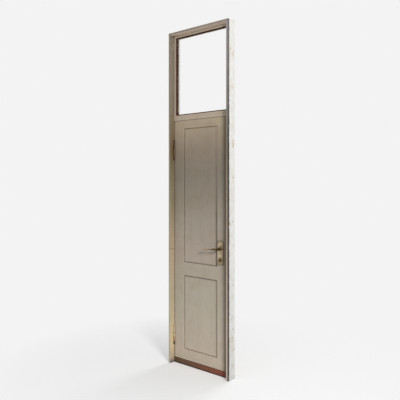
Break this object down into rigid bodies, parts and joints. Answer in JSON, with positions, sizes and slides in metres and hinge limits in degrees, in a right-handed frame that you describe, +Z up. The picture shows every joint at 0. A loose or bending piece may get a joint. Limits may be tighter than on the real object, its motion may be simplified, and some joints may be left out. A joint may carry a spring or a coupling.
{
  "type": "panelled door in its frame with a glass transom light",
  "caption": "Tall narrow timber door frame: a hinged panelled leaf with brass lever, lock and hinges, below a fixed clear glass light.",
  "frame": {"origin": "middle of the foot of the frame, on the middle plane of the leaf, at floor level", "axes": "+X from the hinge side to the lock side, +Y from the front face to the back, +Z up"},
  "size_m": [0.672, 0.1552, 2.85],
  "materials": {
    "painted_jamb": "oil paint over timber, dusty and rubbed",
    "painted_rail": "oil paint over timber, satin",
    "painted_leaf": "oil paint over timber, satin",
    "bare_hardwood": "worn stain on hardwood",
    "dark_stained_wood": "dark stain, semi-matt",
    "clear_glass": "clear float glass",
    "block_rubber": "matt",
    "aged_brass": "aged and tarnished",
    "plain_steel": "plain, oiled",
    "painted_steel": "black lacquer"
  },
  "bodies": {
    "frame": {"hinge_jamb": "painted_jamb", "lock_jamb": "painted_jamb", "frame_head": "painted_jamb", "transom_bar": "painted_rail", "threshold": "bare_hardwood", "head_stop": "painted_jamb", "hinge_side_stop": "painted_jamb", "lock_side_stop": "painted_jamb", "hinge_side_filler": "painted_jamb", "lock_side_filler": "painted_jamb", "head_filler": "painted_jamb", "foot_bead": "dark_stained_wood", "lock_side_bead": "dark_stained_wood", "head_bead": "dark_stained_wood", "hinge_side_bead": "dark_stained_wood", "glass_pane": "clear_glass", "setting_blocks": "block_rubber", "upper_hinge_jamb_flap": "aged_brass", "upper_hinge_pin": "aged_brass", "upper_hinge_foot_finial": "aged_brass", "lower_hinge_jamb_flap": "aged_brass", "lower_hinge_pin": "aged_brass", "lower_hinge_foot_finial": "aged_brass", "jamb_hinge_screws": "aged_brass", "strike_plate": "aged_brass", "strike_screws": "aged_brass"},
    "leaf": {"hinge_stile": "painted_leaf", "lock_stile": "painted_leaf", "top_rail": "painted_leaf", "lock_rail": "painted_leaf", "bottom_rail": "painted_leaf", "upper_panel": "painted_leaf", "lower_panel": "painted_leaf", "upper_hinge_stile_flap": "aged_brass", "lower_hinge_stile_flap": "aged_brass", "stile_hinge_screws": "aged_brass", "lock_case": "painted_steel", "lock_faceplate": "aged_brass", "faceplate_screws": "aged_brass", "front_backplate": "aged_brass", "rear_backplate": "aged_brass", "front_plate_screws": "aged_brass", "rear_plate_screws": "aged_brass", "front_cylinder": "aged_brass", "rear_cylinder": "aged_brass"},
    "handle": {"front_lever": "aged_brass", "rear_lever": "aged_brass", "spindle": "plain_steel", "follower": "plain_steel"},
    "latch": {"latch_bolt": "aged_brass"},
    "plug": {"cylinder_plug": "aged_brass", "lock_cam": "plain_steel"},
    "dead_bolt": {"dead_bolt": "aged_brass"}
  },
  "joints": [
    {"name": "leaf_swing", "type": "hinge", "parent": "frame", "child": "leaf", "pos_m": [-0.3095, -0.0255, 0], "axis": [0, 0, -1], "range_deg": [0, 105]},
    {"name": "handle_turn", "type": "hinge", "parent": "leaf", "child": "handle", "pos_m": [0.219, 0, 1.026], "axis": [0, -1, 0], "range_deg": [0, 40], "stiffness_Nm_per_rad": 1.2, "springref_deg": -28.65},
    {"name": "latch_slide", "type": "slide", "parent": "leaf", "child": "latch", "axis": [-1, 0, 0], "range_m": [0, 0.0105]},
    {"name": "plug_turn", "type": "hinge", "parent": "leaf", "child": "plug", "pos_m": [0.219, 0, 0.935], "axis": [0, 1, 0], "range_deg": [0, 90]},
    {"name": "bolt_slide", "type": "slide", "parent": "leaf", "child": "dead_bolt", "axis": [1, 0, 0], "range_m": [0, 0.014]}
  ],
  "couplings": [
    {"joint": "latch_slide", "follows": "handle_turn", "m_per_rad": 0.01504},
    {"joint": "plug_turn", "follows": "bolt_slide", "rad_per_m": 112.19}
  ]
}
